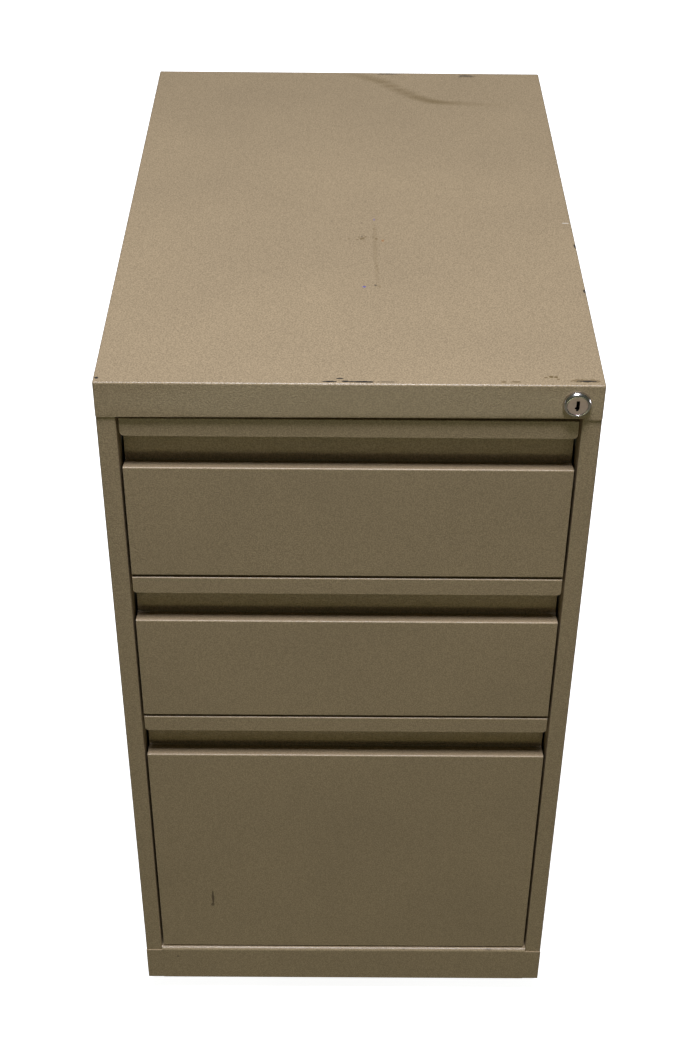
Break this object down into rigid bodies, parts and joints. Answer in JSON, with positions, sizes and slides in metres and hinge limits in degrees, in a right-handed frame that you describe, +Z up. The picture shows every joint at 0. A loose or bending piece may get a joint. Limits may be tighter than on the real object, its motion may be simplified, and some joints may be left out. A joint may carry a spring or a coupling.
{
  "type": "rolling pedestal cabinet",
  "caption": "Low sheet-steel drawer pedestal on recessed casters, with full-width finger pulls over box and file drawers and a key lock in the front apron.",
  "frame": {"origin": "on the floor, under the middle of the overall box", "axes": "+X to the cabinet's right as seen from the front, +Y to the back, +Z up"},
  "size_m": [0.381, 0.585, 0.711],
  "materials": {
    "paint": "fine-textured tan powder coat, satin",
    "bare_steel": "mill finish sheet steel",
    "zinc_steel": "bright zinc plate",
    "cage_steel": "pressed steel cage with polished balls",
    "lock_chrome": "polished chrome plate",
    "weight_iron": "black primer, rough",
    "nylon": "natural nylon",
    "black_nylon": "moulded black nylon, fine grain",
    "wheel_nylon": "moulded black nylon, worn tread"
  },
  "bodies": {
    "case": {"top_cap": "paint", "left_side_panel": "paint", "right_side_panel": "paint", "back_panel": "paint", "base_pan": "paint", "base_rail": "paint", "front_uprights": "bare_steel", "rear_uprights": "bare_steel", "counterweight": "weight_iron", "front_caster_channel": "bare_steel", "rear_caster_channel": "bare_steel", "caster_stems": "zinc_steel", "caster_nuts": "zinc_steel", "top_cabinet_runners": "zinc_steel", "middle_cabinet_runners": "zinc_steel", "file_cabinet_runners": "zinc_steel", "runner_screws": "bare_steel", "lock_barrel": "lock_chrome", "lock_nut": "zinc_steel", "lock_bar_guides": "nylon"},
    "lock": {"lock_plug": "lock_chrome", "lock_cam": "zinc_steel"},
    "locking_bar": {"lock_bar": "zinc_steel"},
    "top_drawer": {"top_drawer_front": "paint", "top_drawer_liner": "paint", "top_drawer_box": "paint", "top_drawer_runners": "zinc_steel", "top_drawer_catch": "zinc_steel"},
    "middle_drawer": {"middle_drawer_front": "paint", "middle_drawer_liner": "paint", "middle_drawer_box": "paint", "middle_drawer_runners": "zinc_steel", "middle_drawer_catch": "zinc_steel"},
    "file_drawer": {"file_drawer_front": "paint", "file_drawer_liner": "paint", "file_drawer_box": "paint", "file_drawer_runners": "zinc_steel", "file_drawer_catch": "zinc_steel", "hanging_rails": "zinc_steel"},
    "top_cages": {"top_runner_cages": "cage_steel"},
    "middle_cages": {"middle_runner_cages": "cage_steel"},
    "file_middle_members": {"file_middle_runners": "zinc_steel"},
    "file_outer_cage_pair": {"file_outer_cages": "cage_steel"},
    "file_inner_cage_pair": {"file_inner_cages": "cage_steel"},
    "front_left_caster": {"front_left_housing": "black_nylon", "front_left_axle": "zinc_steel"},
    "front_left_outer_wheel_body": {"front_left_outer_wheel": "wheel_nylon"},
    "front_left_inner_wheel_body": {"front_left_inner_wheel": "wheel_nylon"},
    "front_right_caster": {"front_right_housing": "black_nylon", "front_right_axle": "zinc_steel"},
    "front_right_outer_wheel_body": {"front_right_outer_wheel": "wheel_nylon"},
    "front_right_inner_wheel_body": {"front_right_inner_wheel": "wheel_nylon"},
    "rear_left_caster": {"rear_left_housing": "black_nylon", "rear_left_axle": "zinc_steel"},
    "rear_left_outer_wheel_body": {"rear_left_outer_wheel": "wheel_nylon"},
    "rear_left_inner_wheel_body": {"rear_left_inner_wheel": "wheel_nylon"},
    "rear_right_caster": {"rear_right_housing": "black_nylon", "rear_right_axle": "zinc_steel"},
    "rear_right_outer_wheel_body": {"rear_right_outer_wheel": "wheel_nylon"},
    "rear_right_inner_wheel_body": {"rear_right_inner_wheel": "wheel_nylon"}
  },
  "joints": [
    {"name": "lock_turn", "type": "hinge", "parent": "case", "child": "lock", "pos_m": [0.17, -0.2885, 0.695], "axis": [0, -1, 0], "range_deg": [0, 90]},
    {"name": "lock_bar_lift", "type": "slide", "parent": "case", "child": "locking_bar", "axis": [0, 0, 1], "range_m": [0, 0.01626]},
    {"name": "top_drawer_slide", "type": "slide", "parent": "case", "child": "top_drawer", "axis": [0, -1, 0], "range_m": [0, 0.375]},
    {"name": "middle_drawer_slide", "type": "slide", "parent": "case", "child": "middle_drawer", "axis": [0, -1, 0], "range_m": [0, 0.375]},
    {"name": "file_drawer_slide", "type": "slide", "parent": "case", "child": "file_drawer", "axis": [0, -1, 0], "range_m": [0, 0.5]},
    {"name": "top_cage_slide", "type": "slide", "parent": "case", "child": "top_cages", "axis": [0, -1, 0], "range_m": [0, 0.1875]},
    {"name": "middle_cage_slide", "type": "slide", "parent": "case", "child": "middle_cages", "axis": [0, -1, 0], "range_m": [0, 0.1875]},
    {"name": "file_middle_member_slide", "type": "slide", "parent": "case", "child": "file_middle_members", "axis": [0, -1, 0], "range_m": [0, 0.25]},
    {"name": "file_outer_cage_slide", "type": "slide", "parent": "case", "child": "file_outer_cage_pair", "axis": [0, -1, 0], "range_m": [0, 0.125]},
    {"name": "file_inner_cage_slide", "type": "slide", "parent": "case", "child": "file_inner_cage_pair", "axis": [0, -1, 0], "range_m": [0, 0.375]},
    {"name": "front_left_swivel", "type": "hinge", "parent": "case", "child": "front_left_caster", "pos_m": [-0.135, -0.2225, 0.05], "axis": [0, 0, 1], "continuous": true},
    {"name": "front_left_outer_wheel_spin", "type": "hinge", "parent": "front_left_caster", "child": "front_left_outer_wheel_body", "pos_m": [-0.135, -0.2065, 0.025], "axis": [1, 0, 0], "continuous": true},
    {"name": "front_left_inner_wheel_spin", "type": "hinge", "parent": "front_left_caster", "child": "front_left_inner_wheel_body", "pos_m": [-0.135, -0.2065, 0.025], "axis": [1, 0, 0], "continuous": true},
    {"name": "front_right_swivel", "type": "hinge", "parent": "case", "child": "front_right_caster", "pos_m": [0.135, -0.2225, 0.05], "axis": [0, 0, 1], "continuous": true},
    {"name": "front_right_outer_wheel_spin", "type": "hinge", "parent": "front_right_caster", "child": "front_right_outer_wheel_body", "pos_m": [0.135, -0.2065, 0.025], "axis": [1, 0, 0], "continuous": true},
    {"name": "front_right_inner_wheel_spin", "type": "hinge", "parent": "front_right_caster", "child": "front_right_inner_wheel_body", "pos_m": [0.135, -0.2065, 0.025], "axis": [1, 0, 0], "continuous": true},
    {"name": "rear_left_swivel", "type": "hinge", "parent": "case", "child": "rear_left_caster", "pos_m": [-0.135, 0.2265, 0.05], "axis": [0, 0, 1], "continuous": true},
    {"name": "rear_left_outer_wheel_spin", "type": "hinge", "parent": "rear_left_caster", "child": "rear_left_outer_wheel_body", "pos_m": [-0.135, 0.2425, 0.025], "axis": [1, 0, 0], "continuous": true},
    {"name": "rear_left_inner_wheel_spin", "type": "hinge", "parent": "rear_left_caster", "child": "rear_left_inner_wheel_body", "pos_m": [-0.135, 0.2425, 0.025], "axis": [1, 0, 0], "continuous": true},
    {"name": "rear_right_swivel", "type": "hinge", "parent": "case", "child": "rear_right_caster", "pos_m": [0.135, 0.2265, 0.05], "axis": [0, 0, 1], "continuous": true},
    {"name": "rear_right_outer_wheel_spin", "type": "hinge", "parent": "rear_right_caster", "child": "rear_right_outer_wheel_body", "pos_m": [0.135, 0.2425, 0.025], "axis": [1, 0, 0], "continuous": true},
    {"name": "rear_right_inner_wheel_spin", "type": "hinge", "parent": "rear_right_caster", "child": "rear_right_inner_wheel_body", "pos_m": [0.135, 0.2425, 0.025], "axis": [1, 0, 0], "continuous": true}
  ],
  "couplings": [
    {"joint": "lock_turn", "follows": "lock_bar_lift", "rad_per_m": 96.58},
    {"joint": "top_cage_slide", "follows": "top_drawer_slide", "ratio": 0.5},
    {"joint": "middle_cage_slide", "follows": "middle_drawer_slide", "ratio": 0.5},
    {"joint": "file_middle_member_slide", "follows": "file_drawer_slide", "ratio": 0.5},
    {"joint": "file_outer_cage_slide", "follows": "file_drawer_slide", "ratio": 0.25},
    {"joint": "file_inner_cage_slide", "follows": "file_drawer_slide", "ratio": 0.75}
  ]
}
